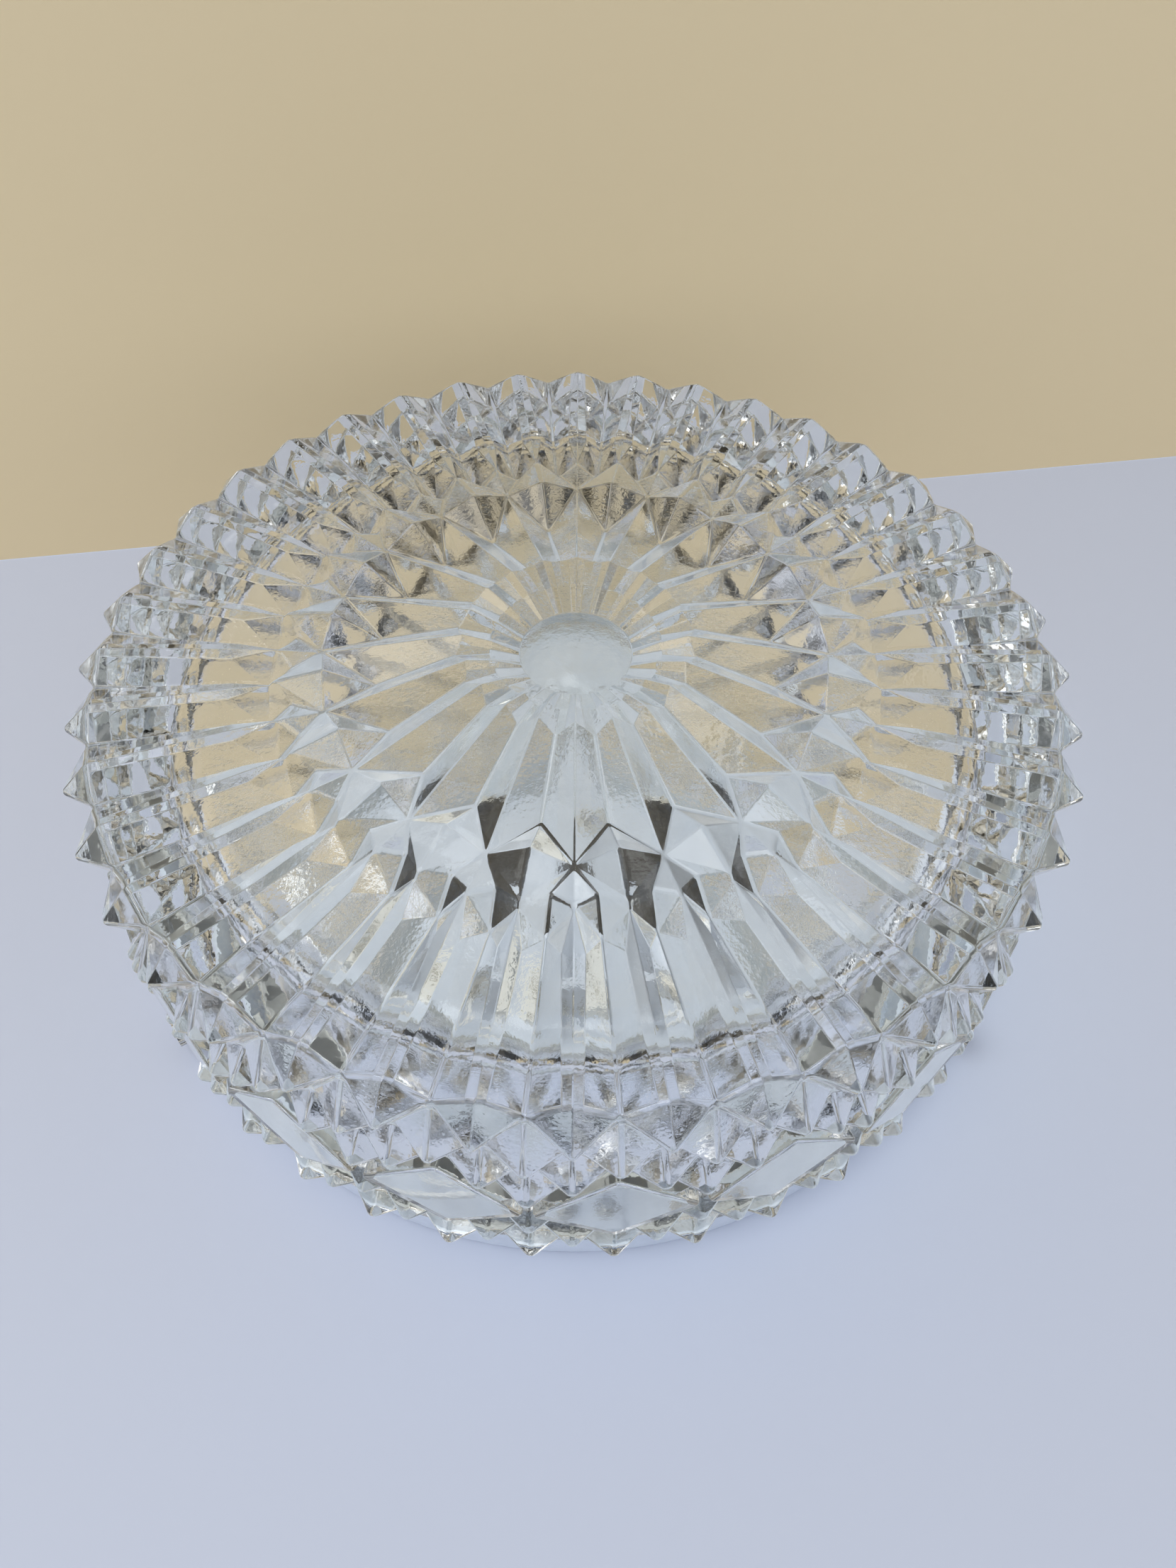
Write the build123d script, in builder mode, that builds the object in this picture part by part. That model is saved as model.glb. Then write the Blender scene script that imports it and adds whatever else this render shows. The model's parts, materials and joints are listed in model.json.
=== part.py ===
from build123d import *
import os
from math import atan, cos, degrees, pi, radians, sin, tan

# Flush ceiling light: a pressed-glass drum shade held on an enamelled steel pan by three thumbscrews,
# with one E27 lampholder lying across the pan. Millimetres. The pan's back lies on z = 0 and +Z points
# away from the ceiling, so here the light stands on its pan with the glass dome on top.

# ---- driving dimensions: glass shade ---------------------------------------------------------------
rib_count = 40              # ribs round the drum; the star on the dome has half as many petals
tip_r = 140.0               # to the points of the ribs and of the side rows
point_depth = 8.0           # how far the points stand out from the drum wall
rim_z = 3.0                 # the glass rim, on its gasket
neck_h = 12.0               # plain neck, from the rim to the shoulder
neck_inset = 7.0            # the neck is that much narrower than the drum wall
lip_bead, lip_h, lip_slope = 2.5, 3.0, 1.0    # bead round the rim that the thumbscrews catch
rim_wall = 6.5              # glass thickness at the rim
draft = 2.0                 # degrees, so that the plunger could leave the mould
shoulder_h = 1.0
crown_z = 96.0              # height of the rib points
plate_wall = 9.0            # glass under the ribs
dome_r = 81.5               # edge of the star, where the ribs begin
dome_lift = 7.0             # how far the inside of the dome rises above the flat under the ribs
inner_corner = 12.0
inner_flat = 8.0            # the inside is level from there to its corner, outside the star
rib_rise = 8.7              # level ridge of the ribs, above the rib points
valley_inner, valley_outer = -0.6, 4.0   # floor between the ribs, at the star and at the drum's edge
valley_gap = 0.9            # flat valley left between neighbouring facets
blunt = 0.5                 # half width of a fire-polished tip
rib_inset = 1.0             # of a rib's roof, inside the star's edge and the drum's
sink = 0.2                  # of a stud's foot into the glass
# below the crown: the upper two rows are taller than the rest
row_drops = [12.5, 23.5]
row_pitch = 9.5
lens_depth, lens_flat = 4.5, 7.0    # height of the lens diamonds, and half width of their flat top
side_skirt, petal_skirt, diamond_skirt = 3.0, 6.0, 4.0    # how deep the studs reach into the glass
# star on the dome: radius and rise above the rib points
medallion_r, medallion_rise = 15.5, 8.4
collar_r, collar_rise = 31.0, 15.4
petal_shoulder_r, petal_shoulder_rise = 54.6, 3.6
petal_end_r = 70.0
dome_edge_rise = 7.0
petal_height, petal_tilt, petal_base = 4.6, 11.5, 7.0     # base is the foot's height above the rib points
diamond_height, diamond_tilt, diamond_base = 3.6, -6.0, 5.2
# the turned body that the studs stand on, below their feet
rib_root, rib_root_start, petal_root, collar_root = 0.6, 0.2, 1.0, 3.4
collar_half, fillet_w, fillet_rise = 2.0, 5.0, 2.5        # round the collar, and from it to the medallion
medallion_crown = 0.6

# ---- driving dimensions: pan, gasket and thumbscrews -----------------------------------------------
sheet = 1.0
gallery_gap = 2.0           # between the lip and the gallery wall
gallery_h = 14.5
gasket_w = 9.0
slot_spacing, slot_w, slot_len = 170.0, 5.5, 12.0
cable_x, cable_y = -46.0, 34.0
cable_r = 4.5               # through the grommet
grommet_wall, grommet_flange, flange_t = 3.0, 2.0, 2.5
grommet_play = 0.1          # flange above the pan
screw_count = 3
screw_r = 2.0               # M4
screw_z = 10.4
screw_travel = 2.6
screw_head_r, screw_head_t = 4.4, 3.6
knurls, knurl_r = 16, 0.45
head_gap = 0.3              # left between the head and its bush when the screw is home
pad_r, pad_t, pad_back = 3.0, 1.5, 0.1       # pad_back: off the gallery wall when backed off
nose_r, nose_l = 1.2, 0.8
bush_t, bush_wall = 2.0, 2.2
run = 0.05                  # radial clearance of a shaft in its hole

# ---- driving dimensions: bracket, lampholder and lamp ----------------------------------------------
axis_z = 42.0               # lamp axis, parallel to +Y
bracket_y = -80.0           # back of the upright
bracket_t, bracket_w, foot_l = 1.5, 26.0, 20.0
bracket_over = 11.0         # bracket above the lamp axis
stud_edge = 6.0             # from the bracket's edge to its studs
nipple_r, nipple_bore = 5.0, 3.5
nipple_back, nipple_grip = 4.5, 8.0          # behind the bracket, and inside the holder's cap
nipple_nut_across, nipple_nut_t = 16.0, 3.0
holder_wall = 2.0
holder_cap_l, holder_barrel_l = 26.5, 30.0
cap_step = 0.5              # the cap is that much narrower than the barrel
insulator_t = 7.0
cap_r, cap_l = 13.1, 21.0
cap_clear = 0.35            # round the lamp's cap, inside the threaded shell
shell_wall, shell_l, thread_depth = 0.4, 28.0, 0.8
shell_gap, barrel_taper = 1.25, 1.6          # round the shell, where the barrel is narrowest
thread_pitch = 3.63
cap_button_t = 1.5
bulb_r, bulb_l, bulb_wall = 30.0, 105.0, 0.8
filament_y, filament_half = 75.0, 11.0   # filament from the lamp's contact
button_r, button_foot_r, cap_foot_l = 4.6, 5.6, 4.0      # the contact, and the black glass under it
cap_taper, cap_flare, cap_metal = 2.2, 0.25, 0.5         # the cap's foot, its rim and its metal
cap_groove, bulb_neck_l, stem_l = 0.55, 6.0, 24.0
key_w, key_h, key_d = 9.0, 14.0, 2.5     # recess for the contact in the insulator
shell_seat = 8.0            # the shell's length that the cap's foot takes up
contact_w, contact_half_t = 6.0, 0.5
bead_l, bead_rise = 5.0, 0.6             # round the barrel, next to the cap

# ---- driving dimensions: terminal block, studs and leads -------------------------------------------
block_x, block_y, block_l, block_w, block_h = -50.0, -56.0, 30.0, 22.0, 15.0
pole_pitch, pole_h, sleeve_r = 18.0, 6.0, 3.0
terminal_screw_r, terminal_screw_l, driver_slot = 1.5, 7.0, 1.0
block_channel_w, block_channel_d = 3.0, 4.0
lead_r, lead_clear, lead_entry = 1.2, 0.15, 6.0
lead_gap = 1.6              # from the lamp axis to each lead
stud_r, stud_h, stud_over = 2.0, 8.0, 2.0    # stud_over: past the nut on the terminal block
nut_across, nut_t = 7.0, 3.0
washer_r, washer_t = 4.9, 1.0
earth_x, earth_y = 34.0, -88.0

os.makedirs("parts", exist_ok=True)


def finish(piece, label):
    """Names a finished piece and writes it."""
    piece.part.label = label
    export_step(piece.part, f"parts/{label}.step")


def upward(x, y, z):
    """A plane parallel to the pan."""
    return Plane(origin=(x, y, z), x_dir=(1, 0, 0), z_dir=(0, 0, 1))


def along_lamp(y, x=0.0, z=axis_z):
    """A plane square to the lamp axis, facing the lamp's crown."""
    return Plane(origin=(x, y, z), x_dir=(1, 0, 0), z_dir=(0, 1, 0))


def outward(radius, z, tilt=0.0):
    """A plane on the +X side of the shade that faces away from the shade's axis."""
    return Plane(origin=(radius, 0, z), x_dir=(0, 1, 0), z_dir=(cos(radians(tilt)), 0, sin(radians(tilt))))


def roofward(radius, z, tilt):
    """A plane on the +X side of the dome whose x runs outwards and down by tilt degrees."""
    a = radians(tilt)
    return Plane(origin=(radius, 0, z), x_dir=(cos(a), 0, -sin(a)), z_dir=(sin(a), 0, cos(a)))


def facet_stud(plane, corners, height, skirt, flat=blunt):
    """A cut-glass stud: a pyramid with a small flat tip, over a skirt that sinks into the glass."""
    with BuildPart() as stud:
        with BuildSketch(plane) as base:
            with BuildLine():
                Polyline(*corners, close=True)
            make_face()
        outline = base.sketch.edges()
        inradius = 2 * base.sketch.area / sum(edge.length for edge in outline)
        extrude(amount=height, taper=degrees(atan((inradius - flat) / height)))
        extrude(base.sketch, amount=-skirt)
    return stud.part


lamp_section = Plane(origin=(0, 0, axis_z), x_dir=(0, 1, 0), z_dir=(1, 0, 0))
lamp_axis = Axis((0, 0, axis_z), (0, 1, 0))

# ---- glass shade -----------------------------------------------------------------------------------
pitch = 360.0 / rib_count
wall_r = tip_r - point_depth
neck_r = wall_r - neck_inset
lip_r = neck_r + lip_bead
mouth_r = neck_r - rim_wall
shoulder_z = rim_z + neck_h
plate_under = crown_z - plate_wall
cavity_top_r = mouth_r - (plate_under - rim_z) * tan(radians(draft))
levels = [crown_z - drop for drop in row_drops]
while levels[-1] - 2 * row_pitch > shoulder_z:
    levels.append(levels[-1] - row_pitch)
half_w = wall_r * tan(radians(pitch / 2)) - valley_gap / 2
half_h = row_pitch - valley_gap / 2
base_r = wall_r * cos(radians(pitch / 2)) - sink

# the rib: a roof from the star out to the drum's edge, with a pointed inner end
rib_start_r, rib_end_r = dome_r + rib_inset, wall_r - rib_inset
with BuildPart() as rib:
    for radius, floor in ((rib_start_r, valley_inner), (rib_end_r, valley_outer)):
        half = radius * tan(radians(pitch / 2)) - valley_gap / 2
        with BuildSketch(outward(radius, crown_z)):
            with BuildLine():
                Polyline((-half, floor - 1.0), (half, floor - 1.0), (0, rib_rise), close=True)
            make_face()
    loft(ruled=True)

rib_end_back = base_r - 0.8      # the rib's end stands a little further back than the other studs
rib_end_side = valley_outer - 1.0
rib_end = facet_stud(
    outward(rib_end_back, crown_z),
    [(0, rib_rise - 0.4), (half_w, rib_end_side), (0, -row_drops[0] + valley_gap), (-half_w, rib_end_side)],
    tip_r - rib_end_back,
    side_skirt,
)
point = facet_stud(
    outward(base_r, 0),
    [(half_w, 0), (0, half_h), (-half_w, 0), (0, -half_h)],
    tip_r - base_r,
    side_skirt,
)
lens_w, lens_h = 2 * half_w + valley_gap / 2, 2 * half_h + valley_gap / 2
lens_r = wall_r * cos(radians(pitch)) - sink
lens = facet_stud(
    outward(lens_r, levels[3]),
    [(lens_w, 0), (0, lens_h), (-lens_w, 0), (0, -lens_h)],
    wall_r + lens_depth - lens_r,
    side_skirt,
    flat=lens_flat,
)

petal_half = petal_shoulder_r * sin(radians(pitch)) - valley_gap / 2
petal_mid = (collar_r + petal_end_r) / 2
petal = facet_stud(
    roofward(petal_mid, crown_z + petal_base, petal_tilt),
    [
        (collar_r - 1.0 - petal_mid, 0),
        (petal_shoulder_r - petal_mid, petal_half),
        (petal_end_r - valley_gap - petal_mid, 0),
        (petal_shoulder_r - petal_mid, -petal_half),
    ],
    petal_height,
    petal_skirt,
)
diamond_half = petal_end_r * sin(radians(pitch)) - valley_gap / 2
diamond_mid = petal_end_r * cos(radians(pitch))
diamond = facet_stud(
    roofward(diamond_mid, crown_z + diamond_base, diamond_tilt),
    [
        (petal_shoulder_r + valley_gap - diamond_mid, 0),
        (0, diamond_half),
        (dome_r - valley_gap - diamond_mid, 0),
        (0, -diamond_half),
    ],
    diamond_height,
    diamond_skirt,
)

with BuildPart() as glass_shade:
    with BuildSketch(Plane.XZ):
        with BuildLine():
            outer = Polyline(
                (mouth_r, rim_z),
                (lip_r, rim_z),
                (lip_r, rim_z + lip_h),
                (neck_r, rim_z + lip_h + lip_slope),
                (neck_r, shoulder_z),
                (wall_r, shoulder_z + shoulder_h),
                (wall_r, crown_z + valley_outer - rib_root),
                (dome_r + 2 * rib_inset, crown_z + valley_inner - rib_root_start),
                (dome_r, crown_z + dome_edge_rise),
                (petal_shoulder_r, crown_z + petal_shoulder_rise - petal_root),
                (collar_r + collar_half, crown_z + collar_rise - collar_root),
                (collar_r - collar_half, crown_z + collar_rise),
                (medallion_r + fillet_w, crown_z + medallion_rise + fillet_rise),
                (medallion_r, crown_z + medallion_rise),
                (0, crown_z + medallion_rise + medallion_crown),
            )
            inside_top = (0, plate_under + dome_lift)
            Line(outer @ 1, inside_top)
            inner = FilletPolyline(
                inside_top,
                (petal_shoulder_r, plate_under + dome_lift),
                (dome_r + inner_flat, plate_under),
                (cavity_top_r, plate_under),
                (mouth_r, rim_z),
                radius=inner_corner,
            )
        make_face()
    revolve(axis=Axis.Z)
    with PolarLocations(0, rib_count):
        add(rib.part)
        add(rib_end)
    for row, level in enumerate(levels):
        whole = row % 2 == 1
        start = 0.0 if whole else pitch / 2
        beside_lens = row in (2, 3, 4)
        if row == 3:
            continue
        step = rib_count // 2 if beside_lens else rib_count
        with PolarLocations(0, step, start_angle=-pitch / 2 if beside_lens else start):
            add(point.moved(Location((0, 0, level))))
    with PolarLocations(0, rib_count // 2, start_angle=pitch / 2):
        add(lens)
    with PolarLocations(0, rib_count // 2):
        add(petal)
    with PolarLocations(0, rib_count // 2, start_angle=pitch):
        add(diamond)
finish(glass_shade, "glass_shade")

# ---- ceiling pan with its gallery wall, gasket and thumbscrew bushes --------------------------------
gallery_r = lip_r + gallery_gap
pan_r = gallery_r + sheet
screw_angles = [90.0 + k * 360.0 / screw_count for k in range(screw_count)]
hole_r = screw_r + run
grommet_r = cable_r + grommet_wall
bracket_studs = [(side * (bracket_w / 2 - stud_edge), bracket_y - foot_l / 2) for side in (-1, 1)]
stud_places = [*bracket_studs, (block_x, block_y), (earth_x, earth_y)]


def radial(angle, radius, z=screw_z):
    """A plane on a radius of the light, facing its axis."""
    a = radians(angle)
    return Plane(origin=(radius * cos(a), radius * sin(a), z), x_dir=(0, 0, 1), z_dir=(-cos(a), -sin(a), 0))


with BuildPart() as ceiling_pan:
    with BuildSketch():
        Circle(pan_r)
        with GridLocations(slot_spacing, 0, 2, 1):
            SlotOverall(slot_len, slot_w, mode=Mode.SUBTRACT)
        with Locations((cable_x, cable_y)):
            Circle(grommet_r, mode=Mode.SUBTRACT)
    extrude(amount=sheet)
    with BuildSketch(upward(0, 0, sheet)):
        Circle(pan_r)
        Circle(gallery_r, mode=Mode.SUBTRACT)
    extrude(amount=gallery_h - sheet)
    back_circles = ceiling_pan.edges().filter_by(GeomType.CIRCLE).group_by(Axis.Z)[0]
    fillet(back_circles.sort_by(SortBy.RADIUS)[-1], sheet * 0.8)
    for angle in screw_angles:
        with BuildSketch(radial(angle, pan_r + 1.0)):
            Circle(hole_r)
        extrude(amount=sheet + 2.0, mode=Mode.SUBTRACT)
finish(ceiling_pan, "ceiling_pan")

with BuildPart() as rim_gasket:
    with BuildSketch(upward(0, 0, sheet)):
        Circle(lip_r - 0.5)
        Circle(lip_r - 0.5 - gasket_w, mode=Mode.SUBTRACT)
    extrude(amount=rim_z - sheet)
finish(rim_gasket, "rim_gasket")

with BuildPart() as gallery_bushes:
    for angle in screw_angles:
        with BuildSketch(radial(angle, pan_r + bush_t)):
            Circle(screw_r + bush_wall)
            Circle(hole_r, mode=Mode.SUBTRACT)
        extrude(amount=bush_t - run)
finish(gallery_bushes, "gallery_bushes")

# backed off, a pad lies just inside the wall; its screw's nose turns in the pad's socket
pad_outer = gallery_r - pad_back
for number, angle in enumerate(screw_angles, start=1):
    with BuildPart() as pad:
        with BuildSketch(radial(angle, pad_outer)):
            Circle(pad_r)
        extrude(amount=pad_t)
        with BuildSketch(radial(angle, pad_outer)):
            Circle(nose_r + run)
        extrude(amount=nose_l + run, mode=Mode.SUBTRACT)
    finish(pad, f"thumbscrew_pad_{number}")

    head_outer = pan_r + bush_t + screw_travel + head_gap + screw_head_t
    with BuildPart() as thumbscrew:
        with BuildSketch(radial(angle, head_outer)):
            Circle(screw_head_r)
            with PolarLocations(screw_head_r, knurls):
                Circle(knurl_r, mode=Mode.SUBTRACT)
        extrude(amount=screw_head_t)
        with BuildSketch(radial(angle, head_outer)):
            Circle(screw_r)
        extrude(amount=head_outer - pad_outer - run)
        with BuildSketch(radial(angle, pad_outer + run)):
            Circle(nose_r)
        extrude(amount=nose_l)
    finish(thumbscrew, f"thumbscrew_{number}")

# ---- bracket, studs and nuts -----------------------------------------------------------------------
with BuildPart() as holder_bracket:
    with BuildSketch(Plane.YZ.offset(-bracket_w / 2)):
        with BuildLine():
            FilletPolyline(
                (bracket_y - foot_l, sheet),
                (bracket_y + bracket_t, sheet),
                (bracket_y + bracket_t, axis_z + bracket_over),
                radius=bracket_t + 1.0,
            )
            offset(amount=bracket_t, side=Side.LEFT)
        make_face()
    extrude(amount=bracket_w)
    with BuildSketch(along_lamp(bracket_y - 1.0)):
        Circle(nipple_r + run)
    extrude(amount=bracket_t + 2.0, mode=Mode.SUBTRACT)
    with BuildSketch(upward(0, 0, sheet)):
        with Locations(*bracket_studs):
            Circle(stud_r + run)
    extrude(amount=bracket_t + 1.0, mode=Mode.SUBTRACT)
finish(holder_bracket, "holder_bracket")

with BuildPart() as welded_studs:
    for x, y in stud_places:
        tall = block_h + nut_t + stud_over if (x, y) == (block_x, block_y) else stud_h
        with BuildSketch(upward(x, y, sheet)):
            Circle(stud_r)
        extrude(amount=tall)
finish(welded_studs, "welded_studs")

with BuildPart() as stud_nuts:
    for x, y in stud_places:
        if (x, y) == (block_x, block_y):
            seat = sheet + block_h
        elif (x, y) == (earth_x, earth_y):
            seat = sheet + washer_t
        else:
            seat = sheet + bracket_t
        with BuildSketch(upward(x, y, seat)):
            RegularPolygon(nut_across / 2, 6, major_radius=False)
            Circle(stud_r + run, mode=Mode.SUBTRACT)
        extrude(amount=nut_t)
finish(stud_nuts, "stud_nuts")

with BuildPart() as earth_washer:
    with BuildSketch(upward(earth_x, earth_y, sheet)):
        Circle(washer_r)
        Circle(stud_r + run, mode=Mode.SUBTRACT)
    extrude(amount=washer_t)
finish(earth_washer, "earth_washer")

# ---- cable grommet ---------------------------------------------------------------------------------
with BuildPart() as cable_grommet:
    with BuildSketch(upward(cable_x, cable_y, 0)):
        Circle(grommet_r - run)
    extrude(amount=sheet + grommet_play)
    with BuildSketch(upward(cable_x, cable_y, sheet + grommet_play)):
        Circle(grommet_r + grommet_flange)
    extrude(amount=flange_t)
    fillet(cable_grommet.edges().group_by(Axis.Z)[-1], 1.0)
    with BuildSketch(upward(cable_x, cable_y, 0)):
        Circle(cable_r)
    extrude(amount=sheet + grommet_play + flange_t, mode=Mode.SUBTRACT)
finish(cable_grommet, "cable_grommet")

# ---- nipple and its nut ----------------------------------------------------------------------------
cap_back = bracket_y + bracket_t
nipple_l = nipple_back + bracket_t + nipple_grip
with BuildPart() as holder_nipple:
    with BuildSketch(along_lamp(bracket_y - nipple_back)):
        Circle(nipple_r)
        Circle(nipple_bore, mode=Mode.SUBTRACT)
    extrude(amount=nipple_l)
finish(holder_nipple, "holder_nipple")

with BuildPart() as nipple_nut:
    with BuildSketch(along_lamp(bracket_y - nipple_nut_t)):
        RegularPolygon(nipple_nut_across / 2, 6, major_radius=False)
        Circle(nipple_r + run, mode=Mode.SUBTRACT)
    extrude(amount=nipple_nut_t)
finish(nipple_nut, "nipple_nut")

# ---- lampholder ------------------------------------------------------------------------------------
shell_r = cap_r + cap_clear
shell_outer_r = shell_r + shell_wall + thread_depth
holder_r = shell_outer_r + shell_gap + barrel_taper + holder_wall
cap_front = cap_back + holder_cap_l
cap_bell = 16.0                             # where the cap has opened out to its full width
cap_front_r = holder_r - cap_step
barrel_front = cap_front + holder_barrel_l
with BuildPart() as holder_cap:
    with BuildSketch(lamp_section):
        with BuildLine():
            Polyline(
                (cap_back, nipple_r + run),
                (cap_back, nipple_r + 5.0),
                (cap_back + nipple_grip, nipple_r + 6.0),
                (cap_back + cap_bell, holder_r - 1.0),
                (cap_front, cap_front_r),
                (cap_front, cap_front_r - holder_wall),
                (cap_back + cap_bell + 1.0, holder_r - 1.0 - holder_wall),
                (cap_back + nipple_grip + 2.0, nipple_r + 4.0),
                (cap_back + nipple_grip, nipple_r + run),
                close=True,
            )
        make_face()
    revolve(axis=lamp_axis)
finish(holder_cap, "holder_cap")

with BuildPart() as holder_barrel:
    with BuildSketch(lamp_section):
        with BuildLine():
            Polyline(
                (cap_front, cap_front_r - holder_wall),
                (cap_front, holder_r),
                (cap_front + bead_l, holder_r + bead_rise),
                (cap_front + bead_l + 1.0, holder_r),
                (barrel_front - 2.0, holder_r - 0.8),
                (barrel_front, holder_r - barrel_taper),
                (barrel_front, holder_r - holder_wall - barrel_taper),
                (cap_front + insulator_t + 1.0, cap_front_r - holder_wall),
                close=True,
            )
        make_face()
    revolve(axis=lamp_axis)
finish(holder_barrel, "holder_barrel")

insulator_r = cap_front_r - holder_wall - run
insulator_front = cap_front + insulator_t
shell_front = insulator_front + shell_l - shell_seat
with BuildPart() as holder_insulator:
    with BuildSketch(along_lamp(cap_front)):
        Circle(insulator_r)
    extrude(amount=insulator_t)
    with BuildSketch(along_lamp(insulator_front - key_d)):
        Rectangle(key_w, key_h)
    extrude(amount=key_d, mode=Mode.SUBTRACT)
finish(holder_insulator, "holder_insulator")

ring_count = 5
with BuildPart() as holder_shell:
    with BuildSketch(lamp_section):
        Polygon(
            (insulator_front, shell_r),
            (insulator_front, shell_outer_r),
            (shell_front, shell_outer_r),
            (shell_front, shell_r),
            align=None,
        )
        for k in range(ring_count):
            groove = shell_front - 2.0 - k * thread_pitch
            Polygon(
                (groove, shell_r - 0.1),
                (groove - thread_pitch / 2, shell_r + thread_depth),
                (groove - thread_pitch * 0.95, shell_r - 0.1),
                align=None,
                mode=Mode.SUBTRACT,
            )
    revolve(axis=lamp_axis)
finish(holder_shell, "holder_shell")

lamp_back = insulator_front + 1.5
with BuildPart() as centre_contact:
    with BuildSketch(Plane.YZ.offset(-contact_w / 2)):
        with BuildLine():
            FilletPolyline(
                (insulator_front - 1.9, axis_z - 6.0),
                (insulator_front - 1.6, axis_z - 3.5),
                (lamp_back - 0.7, axis_z + 0.5),
                (lamp_back - 2.0, axis_z + 5.0),
                radius=1.5,
            )
            offset(amount=contact_half_t, side=Side.BOTH)
        make_face()
    extrude(amount=contact_w)
finish(centre_contact, "centre_contact")

# ---- lamp ------------------------------------------------------------------------------------------
cap_start = lamp_back + cap_button_t + cap_foot_l
cap_end = cap_start + cap_l
lamp_front = lamp_back + bulb_l
bulb_mid = lamp_front - bulb_r
with BuildPart() as lamp_contact:
    with BuildSketch(along_lamp(lamp_back)):
        Circle(button_r)
    extrude(amount=cap_button_t)
    fillet(lamp_contact.faces().sort_by(Axis.Y)[0].edges(), 0.6)
finish(lamp_contact, "lamp_contact")

with BuildPart() as lamp_cap_insulator:
    with BuildSketch(lamp_section):
        Polygon(
            (lamp_back + cap_button_t, 0),
            (lamp_back + cap_button_t, button_foot_r),
            (cap_start, cap_r - cap_taper),
            (cap_start, 0),
            align=None,
        )
    revolve(axis=lamp_axis)
finish(lamp_cap_insulator, "lamp_cap_insulator")

with BuildPart() as lamp_cap:
    with BuildSketch(lamp_section):
        Polygon(
            (cap_start, cap_r - cap_taper),
            (cap_start + 1.5, cap_r),
            (cap_end - 3.0, cap_r),
            (cap_end, cap_r + cap_flare),
            (cap_end, cap_r - 0.6),
            (cap_start + 2.0, cap_r - 1.6),
            (cap_start, cap_r - cap_taper - cap_metal),
            align=None,
        )
        for k in range(ring_count - 1):
            groove = cap_start + 2.2 + k * thread_pitch
            Polygon(
                (groove, cap_r + 0.1),
                (groove + thread_pitch * 0.45, cap_r - cap_groove),
                (groove + thread_pitch * 0.9, cap_r + 0.1),
                align=None,
                mode=Mode.SUBTRACT,
            )
    revolve(axis=lamp_axis)
finish(lamp_cap, "lamp_cap")

neck_in, neck_out, neck_glass_r = cap_end - 4.0, cap_end + bulb_neck_l, cap_r - 1.0
with BuildPart() as bulb_glass:
    for inset, mode in ((0.0, Mode.ADD), (bulb_wall, Mode.SUBTRACT)):
        neck, crown_r = neck_glass_r - inset, bulb_r - inset
        sweep_out = (bulb_mid - 14.0, bulb_r * 0.885 - inset)
        with BuildSketch(lamp_section):
            with BuildLine():
                Polyline((neck_in + inset, 0), (neck_in + inset, neck), (neck_out, neck))
                Spline((neck_out, neck), sweep_out, tangents=[(1, 0.05), (1, 0.53)])
                Spline(sweep_out, (bulb_mid, crown_r), tangents=[(1, 0.53), (1, 0)])
                ThreePointArc(
                    (bulb_mid, crown_r),
                    (bulb_mid + crown_r * cos(pi / 4), crown_r * sin(pi / 4)),
                    (bulb_mid + crown_r, 0),
                )
                Line((bulb_mid + crown_r, 0), (neck_in + inset, 0))
            make_face()
        revolve(axis=lamp_axis, mode=mode)
finish(bulb_glass, "bulb_glass")

wire_r = 0.35
stem_front = cap_end + stem_l
with BuildPart() as lamp_stem:
    with BuildSketch(lamp_section):
        with BuildLine():
            stem_start = neck_in + bulb_wall + 0.2
            stem_waist = stem_start + 14.0
            flare_r = neck_glass_r - bulb_wall - 0.4
            flare = Polyline((stem_start, 0), (stem_start, flare_r), (stem_start + 1.2, 7.0))
            Spline(flare @ 1, (stem_waist, 3.0), tangents=[(0.4, -1), (1, 0)])
            Polyline((stem_waist, 3.0), (stem_front, 2.6), (stem_front, 0), (stem_start, 0))
        make_face()
    revolve(axis=lamp_axis)
finish(lamp_stem, "lamp_stem")

filament_end = lamp_back + filament_y
with BuildPart() as filament_supports:
    for side in (-1, 1):
        with BuildLine() as route:
            FilletPolyline(
                (side * 1.6, stem_front, axis_z),
                (side * 1.6, stem_front + 4.0, axis_z),
                (side * filament_half, filament_end - 5.0, axis_z),
                (side * filament_half, filament_end, axis_z),
                radius=3.0,
            )
        with BuildSketch(along_lamp(stem_front, side * 1.6)):
            Circle(wire_r)
        sweep(path=route.line)
    with BuildSketch(along_lamp(stem_front)):
        Circle(wire_r)
    extrude(amount=filament_end - stem_front - 6.0)
finish(filament_supports, "filament_supports")

filament_r, filament_gap = 0.5, 1.3
with BuildPart() as filament:
    with BuildLine() as coil:
        ThreePointArc(
            (-filament_half, filament_end + filament_r + filament_gap, axis_z),
            (0, filament_end - 5.0, axis_z),
            (filament_half, filament_end + filament_r + filament_gap, axis_z),
        )
    with BuildSketch(Plane(origin=coil.line @ 0, z_dir=coil.line % 0)):
        Circle(filament_r)
    sweep(path=coil.line)
finish(filament, "filament")

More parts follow.
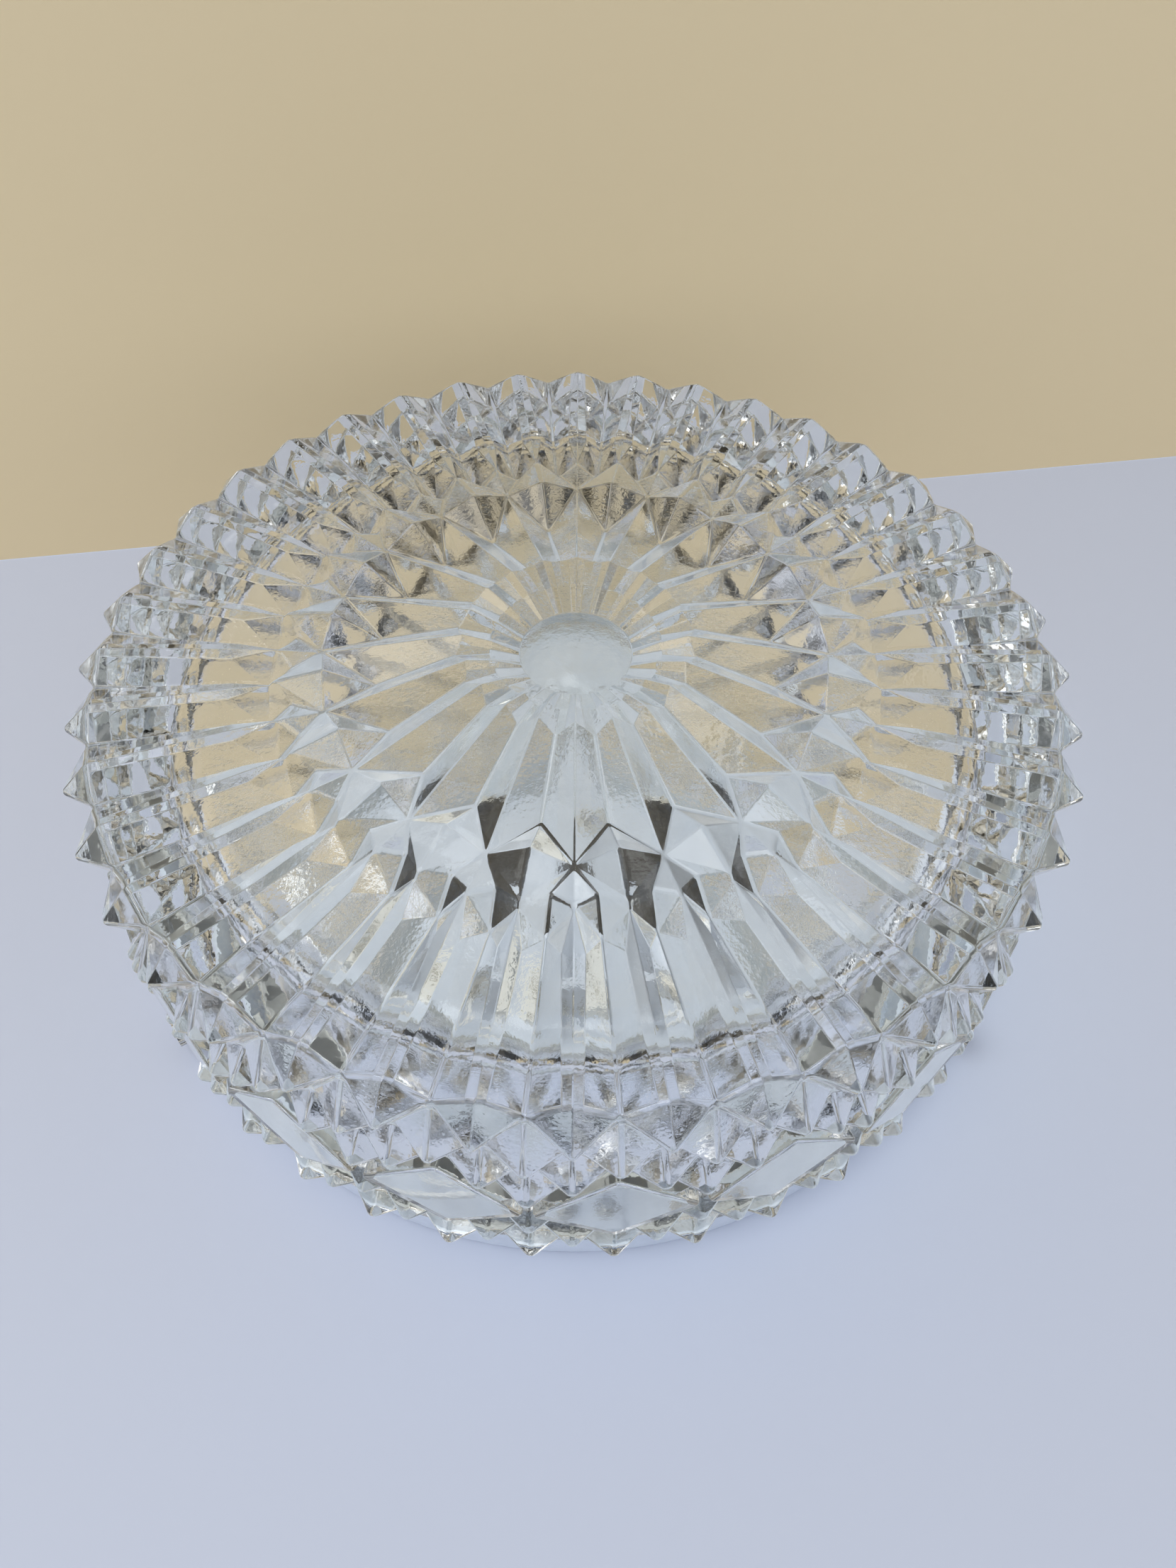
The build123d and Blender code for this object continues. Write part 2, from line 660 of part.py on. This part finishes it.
# ---- terminal block: two brass sleeves in porcelain, clamped by four screws ------------------------
pole_xs = [block_x - pole_pitch / 2, block_x + pole_pitch / 2]
pole_z = sheet + pole_h
sleeve_bore = lead_r + lead_clear
screw_off = block_w / 2 - 5.0
with BuildPart() as terminal_block:
    with BuildSketch(upward(block_x, block_y, sheet)):
        RectangleRounded(block_l, block_w, 2.0)
        Circle(stud_r + run, mode=Mode.SUBTRACT)
    extrude(amount=block_h)
    for x in pole_xs:
        with BuildSketch(along_lamp(block_y - block_w / 2, x, pole_z)):
            Circle(sleeve_r + run)
        extrude(amount=block_w, mode=Mode.SUBTRACT)
        with BuildSketch(upward(x, block_y, pole_z)):
            with Locations((0, -screw_off), (0, screw_off)):
                Circle(terminal_screw_r + 0.5)
        extrude(amount=block_h, mode=Mode.SUBTRACT)
    with BuildSketch(upward(block_x, block_y, sheet + block_h - block_channel_d)):
        Rectangle(block_channel_w, block_w)
    extrude(amount=block_channel_d, mode=Mode.SUBTRACT)
finish(terminal_block, "terminal_block")

with BuildPart() as terminal_sleeves:
    for x in pole_xs:
        with BuildSketch(along_lamp(block_y - block_w / 2 + 0.5, x, pole_z)):
            Circle(sleeve_r)
            Circle(sleeve_bore, mode=Mode.SUBTRACT)
        extrude(amount=block_w - 1.0)
        with BuildSketch(upward(x, block_y, pole_z)):
            with Locations((0, -screw_off), (0, screw_off)):
                Circle(terminal_screw_r + run)
        extrude(amount=sleeve_r + 1.0, mode=Mode.SUBTRACT)
finish(terminal_sleeves, "terminal_sleeves")

with BuildPart() as terminal_screws:
    for x in pole_xs:
        for y in (block_y - screw_off, block_y + screw_off):
            with BuildSketch(upward(x, y, pole_z + lead_r + 0.1)):
                Circle(terminal_screw_r)
            extrude(amount=terminal_screw_l)
            with BuildSketch(upward(x, y, pole_z + lead_r + 0.1 + terminal_screw_l - driver_slot)):
                Rectangle(2 * terminal_screw_r + 0.2, 0.6)
            extrude(amount=driver_slot, mode=Mode.SUBTRACT)
finish(terminal_screws, "terminal_screws")

# ---- leads from the terminal block, through the nipple, to the back of the insulator ----------------
# each leaves square to the block, rises round the back of the bracket and runs along the lamp axis
lead_start = block_y - block_w / 2 + lead_entry
routes = {
    "lead_live": [
        (pole_xs[0], lead_start, pole_z),
        (pole_xs[0], -78.0, pole_z),
        (-51.0, -91.0, 11.0),
        (-35.0, -101.0, 21.0),
        (-16.0, -105.0, 34.0),
        (lead_gap, -101.0, axis_z),
        (lead_gap, cap_front, axis_z),
    ],
    "lead_neutral": [
        (pole_xs[1], lead_start, pole_z),
        (pole_xs[1], -75.0, pole_z),
        (-36.0, -87.0, 12.0),
        (-25.0, -95.0, 23.0),
        (-12.0, -97.5, 35.0),
        (-lead_gap, -92.0, axis_z),
        (-lead_gap, cap_front, axis_z),
    ],
}
for name, points in routes.items():
    corners = [Vector(*p) for p in points]
    runs = [b - a for a, b in zip(corners, corners[1:])]
    radii = [
        0.45 * min(before.length, after.length) / tan(radians(before.get_angle(after) / 2))
        for before, after in zip(runs, runs[1:])
    ]
    with BuildPart() as lead:
        with BuildLine() as route:
            FilletPolyline(*points, radius=radii)
        with BuildSketch(Plane(origin=points[0], z_dir=(0, -1, 0))):
            Circle(lead_r)
        sweep(path=route.line)
    length = sum(edge.length for edge in route.edges())
    print(name, "radii", [round(radius, 1) for radius in radii], "length", round(length, 1))
    print("  volume", round(lead.part.volume, 1), "of", round(pi * lead_r**2 * length, 1))
    finish(lead, name)
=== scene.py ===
"""Flush ceiling light with a pressed-glass drum shade: its visual model, a plain studio and a camera.

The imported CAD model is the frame. Only the glass shade is made again here, with its cut facets and
fire-polished edges; every other piece keeps its CAD shape and gets its finish. Metres, unless it says mm.
"""
import json
import math

import bmesh
import bpy
from mathutils import Matrix, Vector


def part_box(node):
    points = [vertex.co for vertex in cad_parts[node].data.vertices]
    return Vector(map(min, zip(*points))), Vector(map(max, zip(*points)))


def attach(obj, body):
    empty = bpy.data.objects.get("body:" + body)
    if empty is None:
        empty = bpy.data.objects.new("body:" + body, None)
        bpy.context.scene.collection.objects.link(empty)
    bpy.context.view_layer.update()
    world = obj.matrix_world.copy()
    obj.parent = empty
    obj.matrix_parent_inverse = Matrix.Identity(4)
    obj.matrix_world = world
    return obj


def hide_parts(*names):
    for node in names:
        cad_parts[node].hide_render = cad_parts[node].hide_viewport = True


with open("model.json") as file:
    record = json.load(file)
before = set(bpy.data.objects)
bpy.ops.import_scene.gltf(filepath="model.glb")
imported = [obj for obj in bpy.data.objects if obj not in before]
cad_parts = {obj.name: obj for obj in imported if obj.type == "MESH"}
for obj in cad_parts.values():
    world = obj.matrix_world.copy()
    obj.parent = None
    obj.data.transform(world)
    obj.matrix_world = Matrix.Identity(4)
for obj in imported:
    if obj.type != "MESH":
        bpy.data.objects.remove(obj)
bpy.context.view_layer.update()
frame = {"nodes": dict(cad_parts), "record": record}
scene = bpy.context.scene
MM = 0.001

# ---- shade: radii and heights above the rib points in millimetres, angles in degrees from a petal's ridge
glass_low, glass_high = (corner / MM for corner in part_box("glass_shade"))
COLLAR_RISE = 15.4
CROWN = glass_high.z - COLLAR_RISE      # plane of the rib points, above the ceiling face
POINT_DEPTH = 8.0
TIP_R = glass_high.x                    # to the points
WALL_R = TIP_R - POINT_DEPTH            # to the valleys between the points
PETALS = 20
RIB = 180.0 / PETALS                    # degrees from one rib to the next
HALF = RIB / 2
RIDGE_RISE, STAR_FLOOR = 8.7, -0.6      # a rib's ridge, and the valley beside it at the star
FLOOR_TOP = 4.2                         # valley between two ribs, where it meets the drum's edge
STAR_R, STEP_R = 82.0, 83.4             # where a rib starts below a petal, and below a diamond
FOOT_R = 85.4                           # foot of the step down from the star
RIB_END = (131.3, 0, RIDGE_RISE)        # the ridge's outer end, and the corner of the leaf beside it
LEAF_END = (131.2, 1.0, 8.1)
LEAF_R, LEAF_RISE, LEAF_HALF, LEAF_SIDE = 94.0, 9.0, 1.75, 8.0    # where the leaf is widest
LENS_DEPTH, LENS_BORDER = 4.8, 4.2
LEVELS = [FLOOR_TOP, -12.5, -23.5, -33.0, -42.5, -52.0, -61.5, -71.0, -80.5]   # lattice of the side
MEDALLION_R, MEDALLION_RISE = 15.6, 8.4
RIM = glass_low.z - CROWN
RIM_ROUND = 0.6
PLATE_UNDER, DOME_UNDER = -9.0, -2.0    # the inside, under the ribs and under the star
INNER_CORNER, INNER_STEPS = 11.0, 7
LIP_R, NECK_R, MOUTH_R = 127.5, 125.0, 118.5
TURN_STEPS = 4 * PETALS


def at(radius, angle, height):
    """A point of the shade from its radius, angle and height."""
    a = math.radians(angle)
    return Vector((radius * math.cos(a), radius * math.sin(a), height))


def facets(bm, corners, outlines):
    """Flat cuts in the glass: named corners, and outlines that name them in turn."""
    points = {name: bm.verts.new(at(*place)) for name, place in corners.items()}
    for outline in outlines:
        bm.faces.new([points[name] for name in outline.split()])


def star_half(bm):
    """Half a petal, half a diamond and the wall down to the ribs: from a petal's ridge to the next valley."""
    facets(
        bm,
        {
            "medal_a": (MEDALLION_R, 0, MEDALLION_RISE),
            "medal_b": (MEDALLION_R, HALF, MEDALLION_RISE),
            "medal_c": (MEDALLION_R, RIB, MEDALLION_RISE),
            "flute_a": (23.0, 0, 12.7),
            "flute_b": (23.4, HALF, 11.3),
            "flute_c": (23.6, RIB, 11.5),
            "petal_tip": (30.8, 0, COLLAR_RISE),
            "petal_side": (31.6, HALF, 13.7),
            "groove": (33.0, RIB, 12.0),
            "shoulder": (54.6, 0, 10.9),
            "elbow": (55.3, RIB, 3.6),
            "petal_end": (70.0, 0, 7.7),
            "peak": (68.6, RIB, 12.6),
            "corner": (81.9, RIB, 10.1),
            "oval_side": (77.7, 4.2, 7.0),
            "rib_a": (STAR_R, 0, RIDGE_RISE),
            "rib_b": (STEP_R, RIB, RIDGE_RISE),
            "floor": (FOOT_R, HALF, STAR_FLOOR),
        },
        [
            "medal_a flute_a flute_b medal_b",
            "medal_b flute_b flute_c medal_c",
            "flute_a petal_tip petal_side flute_b",
            "flute_b petal_side groove flute_c",
            "petal_tip shoulder elbow groove petal_side",
            "shoulder petal_end elbow",
            "elbow petal_end peak",
            "petal_end corner peak",
            "petal_end rib_a oval_side",
            "petal_end oval_side corner",
            "corner oval_side floor",
            "oval_side rib_a floor",
            "corner floor rib_b",
        ],
    )


def rib_half(bm, angle, side, start_r):
    """Half of a rib: a narrow leaf along its top, and the long facet down to the valley."""
    end_r, _, end_rise = RIB_END
    side_r, side_angle, side_rise = LEAF_END
    facets(
        bm,
        {
            "tip": (start_r, angle, RIDGE_RISE),
            "top": (LEAF_R, angle, LEAF_RISE),
            "top_side": (LEAF_R, angle + side * LEAF_HALF, LEAF_SIDE),
            "end": (end_r, angle, end_rise),
            "end_side": (side_r, angle + side * side_angle, side_rise),
            "floor_end": (WALL_R, angle + side * HALF, FLOOR_TOP),
            "floor": (FOOT_R, angle + side * HALF, STAR_FLOOR),
        },
        [
            "tip top top_side",
            "top end end_side top_side",
            "tip top_side floor",
            "top_side end_side floor_end floor",
        ],
    )


def diamond(angle, row, rows=1):
    """Corners of a side diamond whose middle is on a lattice level, from the top round."""
    top, middle, bottom = (LEVELS[row + step * rows] for step in (-1, 0, 1))
    return [(angle, top), (angle + HALF * rows, middle), (angle, bottom), (angle - HALF * rows, middle)]


def side_wedge(bm):
    """One repeat of the drum's side: points on a diamond lattice round a flat-topped lens."""
    lens_angle, stack_angle = HALF, HALF + RIB
    places = [(a, row) for row in (2, 6) for a in (0, RIB)]
    places += [(a, row) for row in (1, 7) for a in (lens_angle, stack_angle)]
    places += [(stack_angle, 3), (stack_angle, 5)]
    for angle, row in places:
        cell = bm.faces.new([bm.verts.new(at(WALL_R, a, h)) for a, h in diamond(angle, row)])
        point = bmesh.ops.poke(bm, faces=[cell])["verts"][0]
        point.co = at(TIP_R, angle, LEVELS[row])
    for angle in (0, RIB):
        side_r, side_angle, side_rise = LEAF_END
        outline = [RIB_END, LEAF_END, (WALL_R, HALF, FLOOR_TOP), (WALL_R, 0, LEVELS[1])]
        outline += [(WALL_R, -HALF, FLOOR_TOP), (side_r, -side_angle, side_rise)]
        end = bm.faces.new([bm.verts.new(at(r, angle + a, h)) for r, a, h in outline])
        bmesh.ops.poke(bm, faces=[end])["verts"][0].co = at(TIP_R, angle, 0)
        skirt = [(angle, LEVELS[7]), (angle + HALF, LEVELS[8]), (angle, LEVELS[8]), (angle - HALF, LEVELS[8])]
        bm.faces.new([bm.verts.new(at(WALL_R, a, h)) for a, h in skirt])
    corners = diamond(lens_angle, 4, rows=2)
    between = [((a + b) / 2, (g + h) / 2) for (a, g), (b, h) in zip(corners, corners[1:] + corners[:1])]
    outline = [place for pair in zip(corners, between) for place in pair]
    lens = bm.faces.new([bm.verts.new(at(WALL_R, a, h)) for a, h in outline])
    bmesh.ops.inset_individual(bm, faces=[lens], thickness=LENS_BORDER)
    facing = at(1, lens_angle, 0)
    for corner in lens.verts:
        corner.co += facing * (WALL_R + LENS_DEPTH - corner.co.dot(facing))


def round_the_shade(bm):
    """Repeats one wedge round the shade."""
    bmesh.ops.spin(
        bm,
        geom=bm.verts[:] + bm.edges[:] + bm.faces[:],
        cent=(0, 0, 0),
        axis=(0, 0, 1),
        angle=math.tau * (PETALS - 1) / PETALS,
        steps=PETALS - 1,
        use_duplicate=True,
    )


def turned(profile, rounding, segments):
    """A turned surface from a profile of (radius, height), its corners rounded first."""
    bm = bmesh.new()
    points = [bm.verts.new(at(radius, 0, height)) for radius, height in profile]
    for a, b in zip(points, points[1:]):
        bm.edges.new((a, b))
    bmesh.ops.bevel(
        bm,
        geom=points[1:-1],
        offset=rounding,
        offset_type="OFFSET",
        segments=segments,
        profile=0.5,
        affect="VERTICES",
        clamp_overlap=True,
        material=-1,
    )
    bmesh.ops.spin(
        bm,
        geom=bm.verts[:] + bm.edges[:],
        cent=(0, 0, 0),
        axis=(0, 0, 1),
        angle=math.tau,
        steps=TURN_STEPS,
        use_merge=True,
    )
    mesh = bpy.data.meshes.new("turned")
    bm.to_mesh(mesh)
    bm.free()
    return mesh


def piece_from(bm, name, body, slot_name, *nodes):
    """Makes a finished bmesh, in millimetres above the crown plane, a piece that stands for CAD nodes."""
    bmesh.ops.transform(bm, matrix=Matrix.Scale(MM, 4) @ Matrix.Translation((0, 0, CROWN)), verts=bm.verts)
    mesh = bpy.data.meshes.new(name)
    bm.to_mesh(mesh)
    bm.free()
    piece = bpy.data.objects.new(name, mesh)
    scene.collection.objects.link(piece)
    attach(piece, body)
    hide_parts(*nodes)
    return piece


# how far a fire-polished edge is rounded, in mm, and where each width holds
RIDGE, STAR_RIDGE, VALLEY, FLUTE = 1.1, 0.45, 0.8, 0.3
STAR_EDGE_R, COLLAR_OUT_R = 80.0, 30.0
FLAT_ANGLE, SHALLOW_ANGLE = math.radians(5), math.radians(40)
MERGE = 0.02


def make_shade():
    """The pressed-glass shade: star, ribs and side points outside, a plain plunger form inside."""
    bm = bmesh.new()
    star_half(bm)
    rib_half(bm, 0, 1, STAR_R)
    rib_half(bm, RIB, -1, STEP_R)
    bmesh.ops.mirror(bm, geom=bm.verts[:] + bm.edges[:] + bm.faces[:], axis="Y", merge_dist=0.01)
    side_wedge(bm)
    round_the_shade(bm)
    bmesh.ops.remove_doubles(bm, verts=bm.verts, dist=MERGE)
    cut = bm.faces.layers.int.new("cut")
    for face in bm.faces:
        face[cut] = 1
    medallion = turned([(0, 7.9), (7.0, 7.9), (12.0, 8.1), (MEDALLION_R, MEDALLION_RISE)], 1.0, 2)
    neck = turned(
        [
            (WALL_R, LEVELS[8]),
            (WALL_R - 1.2, LEVELS[8] - 0.8),
            (NECK_R, LEVELS[8] - 0.8),
            (NECK_R, RIM + 4.0),
            (LIP_R, RIM + 3.0),
            (LIP_R, RIM),
            (MOUTH_R + RIM_ROUND, RIM),
            (MOUTH_R, RIM + RIM_ROUND),
        ],
        0.5,
        2,
    )
    inside = turned(
        [
            (MOUTH_R, RIM + RIM_ROUND),
            (115.6, PLATE_UNDER),
            (89.5, PLATE_UNDER),
            (54.6, DOME_UNDER),
            (0, DOME_UNDER),
        ],
        INNER_CORNER,
        INNER_STEPS,
    )
    for mesh, finish in ((medallion, 0), (neck, 0), (inside, 1)):
        outside_faces = len(bm.faces)
        bm.from_mesh(mesh)
        bpy.data.meshes.remove(mesh)
        bm.faces.ensure_lookup_table()
        for face in bm.faces[outside_faces:]:
            face.material_index = finish
    bmesh.ops.remove_doubles(bm, verts=bm.verts, dist=MERGE)
    bmesh.ops.recalc_face_normals(bm, faces=bm.faces)
    weight = bm.edges.layers.float.new("bevel_weight_edge")
    for edge in bm.edges:
        if len(edge.link_faces) != 2 or not any(face[cut] for face in edge.link_faces):
            continue
        if edge.calc_face_angle() < FLAT_ANGLE:
            continue
        inner, outer = sorted(corner.co.to_2d().length for corner in edge.verts)
        ridge = STAR_RIDGE if outer < STAR_EDGE_R else RIDGE
        shallow = inner < COLLAR_OUT_R or edge.calc_face_angle() < SHALLOW_ANGLE
        width = FLUTE if shallow else ridge if edge.is_convex else VALLEY
        edge[weight] = width / RIDGE
    for face in bm.faces:
        face.smooth = True
    shade = piece_from(bm, "cut_glass_shade", "shade", "clear_pressed_glass", "glass_shade")
    polish = shade.modifiers.new("fire polish", "BEVEL")
    polish.width = RIDGE * MM
    polish.segments = 3
    polish.limit_method = "WEIGHT"
    polish.use_clamp_overlap = False
    polish.harden_normals = True
    return shade


# ---- finishes --------------------------------------------------------------------------------------
def new_material(name):
    """A material; returns it with its nodes, its links and its Principled shader."""
    material = bpy.data.materials.new(name)
    material.use_nodes = True
    nodes = material.node_tree.nodes
    return material, nodes, material.node_tree.links, nodes["Principled BSDF"]


def grain(nodes, links, scale, detail=2.0, stretch=(1, 1, 1)):
    """Noise in the piece's own metres; stretch makes it run along an axis."""
    place = nodes.new("ShaderNodeTexCoord")
    mapping = nodes.new("ShaderNodeMapping")
    mapping.inputs["Scale"].default_value = stretch
    noise = nodes.new("ShaderNodeTexNoise")
    noise.inputs["Scale"].default_value = scale
    noise.inputs["Detail"].default_value = detail
    links.new(place.outputs["Object"], mapping.inputs["Vector"])
    links.new(mapping.outputs["Vector"], noise.inputs["Vector"])
    return noise.outputs["Fac"]


def bumped(nodes, links, height, depth, normal=None):
    """A bump of that depth in metres, over an earlier normal if there is one."""
    bump = nodes.new("ShaderNodeBump")
    bump.inputs["Distance"].default_value = depth
    links.new(height, bump.inputs["Height"])
    if normal is not None:
        links.new(normal, bump.inputs["Normal"])
    return bump.outputs["Normal"]


def spread(nodes, links, value, low, high):
    """Maps a 0 to 1 value onto a range, for roughness."""
    ramp = nodes.new("ShaderNodeMapRange")
    ramp.inputs["To Min"].default_value = low
    ramp.inputs["To Max"].default_value = high
    links.new(value, ramp.inputs["Value"])
    return ramp.outputs["Result"]


def mottled(nodes, links, value, dark, light):
    """Maps a 0 to 1 value onto two colours."""
    ramp = nodes.new("ShaderNodeValToRGB")
    ramp.color_ramp.elements[0].position = 0.35
    ramp.color_ramp.elements[0].color = (*dark, 1)
    ramp.color_ramp.elements[1].position = 0.65
    ramp.color_ramp.elements[1].color = (*light, 1)
    links.new(value, ramp.inputs["Fac"])
    return ramp.outputs["Color"]


def clear_glass(name, tint, ripple, depth, rough=0.0):
    """Glass that lets lamplight and daylight through: shadow rays pass it, all others refract."""
    material, nodes, links, glass = new_material(name)
    glass.inputs["Base Color"].default_value = (*tint, 1)
    glass.inputs["Transmission Weight"].default_value = 1.0
    glass.inputs["IOR"].default_value = 1.5
    glass.inputs["Roughness"].default_value = rough
    if depth:
        slow = bumped(nodes, links, grain(nodes, links, ripple), depth)
        fine = bumped(nodes, links, grain(nodes, links, ripple * 4, 3.0), depth * 0.12, slow)
        links.new(fine, glass.inputs["Normal"])
    path = nodes.new("ShaderNodeLightPath")
    passing = nodes.new("ShaderNodeBsdfTransparent")
    passing.inputs["Color"].default_value = (*tint, 1)
    mix = nodes.new("ShaderNodeMixShader")
    links.new(path.outputs["Is Shadow Ray"], mix.inputs["Fac"])
    links.new(glass.outputs["BSDF"], mix.inputs[1])
    links.new(passing.outputs["BSDF"], mix.inputs[2])
    links.new(mix.outputs["Shader"], nodes["Material Output"].inputs["Surface"])
    return material


def finish_of(name, dark, light, rough, scale, depth, metal=0.0, coat=0.0, stretch=(1, 1, 1), detail=3.0):
    """A solid finish: two close colours in a fine grain, a spread of roughness and a little relief."""
    material, nodes, links, shader = new_material(name)
    noise = grain(nodes, links, scale, detail, stretch)
    cloud = grain(nodes, links, scale / 8, 4.0)
    links.new(mottled(nodes, links, cloud, dark, light), shader.inputs["Base Color"])
    links.new(spread(nodes, links, noise, *rough), shader.inputs["Roughness"])
    links.new(bumped(nodes, links, noise, depth), shader.inputs["Normal"])
    shader.inputs["Metallic"].default_value = metal
    shader.inputs["Coat Weight"].default_value = coat
    shader.inputs["Coat Roughness"].default_value = 0.08
    return material


GLASS_TINT = (0.955, 0.975, 0.98)
FINISHES = {
    "clear_pressed_glass": clear_glass("clear pressed glass", GLASS_TINT, 260.0, 0.00007),
    "lamp_glass": clear_glass("thin lamp glass", (0.985, 0.99, 0.988), 120.0, 0.00002),
    "white_enamel": finish_of(
        "white stove enamel", (0.60, 0.65, 0.74), (0.66, 0.71, 0.80), (0.16, 0.30), 900.0, 0.00002, coat=0.5
    ),
    "grey_rubber": finish_of(
        "grey rubber", (0.50, 0.50, 0.48), (0.58, 0.58, 0.56), (0.6, 0.8), 2500.0, 0.00003
    ),
    "nickelled_brass": finish_of(
        "nickelled brass", (0.60, 0.58, 0.53), (0.72, 0.70, 0.65), (0.14, 0.34), 1800.0, 0.00001, metal=1.0
    ),
    "zinc_steel": finish_of(
        "zinc-plated steel", (0.52, 0.55, 0.58), (0.68, 0.70, 0.72), (0.25, 0.45), 1400.0, 0.00001, metal=1.0
    ),
    "brass": finish_of(
        "turned brass", (0.62, 0.45, 0.18), (0.80, 0.62, 0.30), (0.18, 0.36), 1600.0, 0.00001, metal=1.0
    ),
    "porcelain": finish_of(
        "bare porcelain", (0.80, 0.79, 0.75), (0.86, 0.85, 0.81), (0.5, 0.7), 3000.0, 0.00002
    ),
    "lamp_cap_metal": finish_of(
        "rolled lamp cap", (0.66, 0.66, 0.64), (0.78, 0.78, 0.76), (0.2, 0.4), 2200.0, 0.00001, metal=1.0
    ),
    "black_vitrite": finish_of(
        "black vitrite", (0.012, 0.01, 0.016), (0.03, 0.025, 0.04), (0.08, 0.2), 1200.0, 0.00002
    ),
    "solder": finish_of(
        "dull solder", (0.45, 0.46, 0.48), (0.62, 0.63, 0.65), (0.35, 0.55), 2600.0, 0.00003, metal=1.0
    ),
    "tungsten": finish_of(
        "drawn wire", (0.22, 0.22, 0.24), (0.36, 0.36, 0.38), (0.3, 0.5), 4000.0, 0.00001, metal=1.0
    ),
    "glass_fibre_sleeve": finish_of(
        "white glass-fibre sleeve", (0.72, 0.73, 0.74), (0.84, 0.84, 0.83), (0.6, 0.8), 4000.0, 0.00006
    ),
    "black_phenolic": finish_of(
        "black phenolic", (0.012, 0.012, 0.013), (0.02, 0.02, 0.022), (0.2, 0.35), 1500.0, 0.00002
    ),
}
PLUNGER_GLASS = clear_glass("glass rippled by the plunger", GLASS_TINT, 600.0, 0.00008, 0.10)


def dress(piece, material):
    """Gives a piece or a CAD node one finish all over."""
    piece.data.materials.clear()
    piece.data.materials.append(material)


# ---- studio ----------------------------------------------------------------------------------------
def card(name, size, place, turn, colour, strength=0.0):
    """A flat studio sheet; with a strength it glows."""
    bm = bmesh.new()
    bmesh.ops.create_grid(bm, x_segments=1, y_segments=1, size=0.5)
    bmesh.ops.transform(bm, matrix=Matrix.Diagonal((*size, 1, 1)), verts=bm.verts)
    mesh = bpy.data.meshes.new(name)
    bm.to_mesh(mesh)
    bm.free()
    sheet = bpy.data.objects.new(name, mesh)
    scene.collection.objects.link(sheet)
    sheet.location = place
    sheet.rotation_euler = [math.radians(angle) for angle in turn]
    material, nodes, links, shader = new_material(name)
    shader.inputs["Base Color"].default_value = (*colour, 1)
    shader.inputs["Roughness"].default_value = 0.9
    shader.inputs["Specular IOR Level"].default_value = 0.1
    shader.inputs["Emission Color"].default_value = (*colour, 1)
    shader.inputs["Emission Strength"].default_value = strength
    dress(sheet, material)
    return sheet, nodes, links, shader


def studio():
    """A pale floor, a warm backdrop that only shows its front, dark cards by the camera, soft light."""
    card("floor", (6.0, 6.0), (0, 0, -0.0002), (0, 0, 0), (0.56, 0.60, 0.72))
    backdrop, nodes, links, shader = card(
        "backdrop", (3.0, 1.2), (0.013, 0.187, 0.6), (90, 0, 8.3), (0.84, 0.68, 0.43)
    )
    facing = nodes.new("ShaderNodeNewGeometry")
    clear = nodes.new("ShaderNodeBsdfTransparent")
    mix = nodes.new("ShaderNodeMixShader")
    links.new(facing.outputs["Backfacing"], mix.inputs["Fac"])
    links.new(shader.outputs["BSDF"], mix.inputs[1])
    links.new(clear.outputs["BSDF"], mix.inputs[2])
    links.new(mix.outputs["Shader"], nodes["Material Output"].inputs["Surface"])
    backdrop.visible_shadow = False

    # dark cards give the glass its black lines; the camera and the floor don't see them
    for name, size, place in (
        ("low dark card", (2.4, 0.5), (0, -0.85, 0.25)),
        ("tall dark card", (0.55, 1.3), (-0.05, -0.65, 0.65)),
    ):
        dark, *_ = card(name, size, place, (90, 0, 0), (0.01, 0.01, 0.01))
        dark.visible_camera = False
        dark.visible_shadow = False
        dark.visible_diffuse = False

    world = bpy.data.worlds.new("open sky")
    scene.world = world
    world.use_nodes = True
    sky = world.node_tree.nodes["Background"]
    sky.inputs["Color"].default_value = (0.86, 0.92, 1.0, 1)
    sky.inputs["Strength"].default_value = 0.78
    lamp = bpy.data.lights.new("soft box", "AREA")
    lamp.shape = "RECTANGLE"
    lamp.size, lamp.size_y = 1.6, 1.2
    lamp.energy = 14.0
    lamp.color = (1.0, 0.99, 0.97)
    soft_box = bpy.data.objects.new("soft box", lamp)
    soft_box.location = (-0.7, -0.4, 1.7)
    soft_box.rotation_euler = soft_box.location.to_track_quat("Z", "Y").to_euler()
    scene.collection.objects.link(soft_box)
    scene.view_settings.view_transform = "Standard"
    scene.cycles.max_bounces = 24
    scene.cycles.transmission_bounces = 24


CAMERA_PLACE = Vector((0.00395, -0.22970, 0.34640))
CAMERA_DOWN, CAMERA_ROLL, CAMERA_ROUND = 52.73, 0.97, -0.81    # degrees
CAMERA_LENS = 27.62


def make_camera():
    """Looks down on the dome from close by."""
    camera = bpy.data.objects.new("camera", bpy.data.cameras.new("camera"))
    camera.data.lens = CAMERA_LENS
    camera.data.sensor_width = 36.0
    camera.data.clip_start = 0.01
    round_axis = Matrix.Rotation(math.radians(CAMERA_ROUND), 4, "Z")
    tilt = Matrix.Rotation(math.radians(90 - CAMERA_DOWN), 4, "X")
    roll = Matrix.Rotation(math.radians(CAMERA_ROLL), 4, "Z")
    camera.matrix_world = round_axis @ Matrix.Translation(CAMERA_PLACE) @ tilt @ roll
    scene.collection.objects.link(camera)
    scene.camera = camera


shade = make_shade()
shade.data.materials.append(FINISHES["clear_pressed_glass"])
shade.data.materials.append(PLUNGER_GLASS)
for part in frame["record"]["subparts"]:
    if part["node"] != "glass_shade":
        dress(frame["nodes"][part["node"]], FINISHES[part["material_slot"]])
studio()
make_camera()
